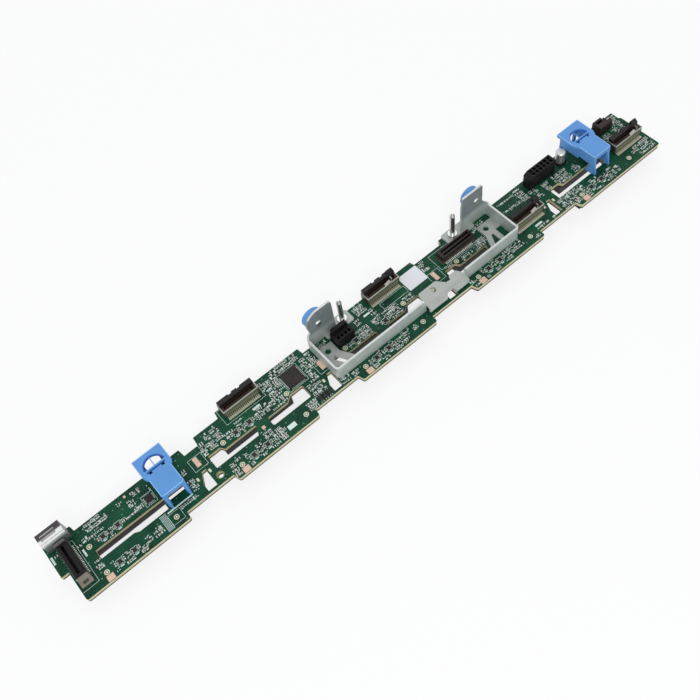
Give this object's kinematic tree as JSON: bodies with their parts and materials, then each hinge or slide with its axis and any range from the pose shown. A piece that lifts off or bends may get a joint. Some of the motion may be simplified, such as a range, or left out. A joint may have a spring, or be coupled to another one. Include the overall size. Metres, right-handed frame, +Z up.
{
  "type": "drive backplane board",
  "caption": "Long narrow green circuit board with cable sockets, a folded metal bracket, guide pins, blue snap latches and drive connectors on the far side.",
  "frame": {"origin": "middle of the footprint, in the plane of the drive connectors' faces", "axes": "+X along the board to the power socket's end, +Y across it to the latches' snap edge, +Z up from the drive connectors to the cable sockets"},
  "size_m": [0.3966, 0.0404, 0.0377],
  "materials": {
    "green_laminate": "green solder mask with tan edges, satin",
    "bracket_steel": "zinc-plated sheet, satin",
    "pin_steel": "bright turned steel",
    "shell_steel": "thin plated shell",
    "blue_plastic": "moulded light blue plastic",
    "connector_black": "moulded black plastic",
    "connector_beige": "moulded beige plastic",
    "connector_brown": "moulded dark brown plastic",
    "gold_contacts": "gold-plated contacts",
    "tinned_tails": "tinned contacts",
    "can_aluminium": "drawn aluminium",
    "chip_black": "moulded chip package",
    "ceramic_tan": "unglazed ceramic",
    "label_paper": "white paper"
  },
  "bodies": {
    "root": {"circuit_board": "green_laminate", "mounting_bracket": "bracket_steel", "touch_knob_left": "blue_plastic", "guide_pin_left": "pin_steel", "release_latch_left": "blue_plastic", "touch_knob_right": "blue_plastic", "guide_pin_right": "pin_steel", "release_latch_right": "blue_plastic", "knob_rivets": "pin_steel", "drive_connector_lower_1": "connector_black", "drive_connector_lower_2": "connector_black", "drive_connector_lower_3": "connector_black", "drive_connector_lower_4": "connector_black", "drive_connector_lower_5": "connector_black", "drive_contacts_lower": "gold_contacts", "drive_connector_upper_1": "connector_black", "drive_connector_upper_2": "connector_black", "drive_connector_upper_3": "connector_black", "drive_connector_upper_4": "connector_black", "drive_connector_upper_5": "connector_black", "drive_contacts_upper": "gold_contacts", "cable_connector_1_insulator": "connector_black", "cable_connector_1_shell": "shell_steel", "cable_connector_1_tails": "gold_contacts", "cable_connector_2_insulator": "connector_black", "cable_connector_2_shell": "shell_steel", "cable_connector_2_tails": "gold_contacts", "cable_connector_3_insulator": "connector_black", "cable_connector_3_shell": "shell_steel", "cable_connector_3_tails": "gold_contacts", "cable_connector_4_insulator": "connector_black", "cable_connector_4_shell": "shell_steel", "cable_connector_4_tails": "gold_contacts", "tall_connector_insulator": "connector_black", "tall_connector_shell": "shell_steel", "end_connector_base": "connector_beige", "end_connector_housing": "connector_black", "end_connector_tails": "tinned_tails", "receptacle_housing": "connector_brown", "receptacle_tails": "tinned_tails", "power_connector_housing": "connector_black", "power_connector_blades": "tinned_tails", "cable_header_housing": "connector_black", "cable_header_pins": "gold_contacts", "block_socket": "connector_brown", "capacitor_can": "can_aluminium", "capacitor_base": "connector_black", "large_chip": "chip_black", "small_chip": "chip_black", "edge_chips": "chip_black", "square_packages": "chip_black", "chip_capacitors": "ceramic_tan", "blank_label": "label_paper"}
  },
  "joints": []
}
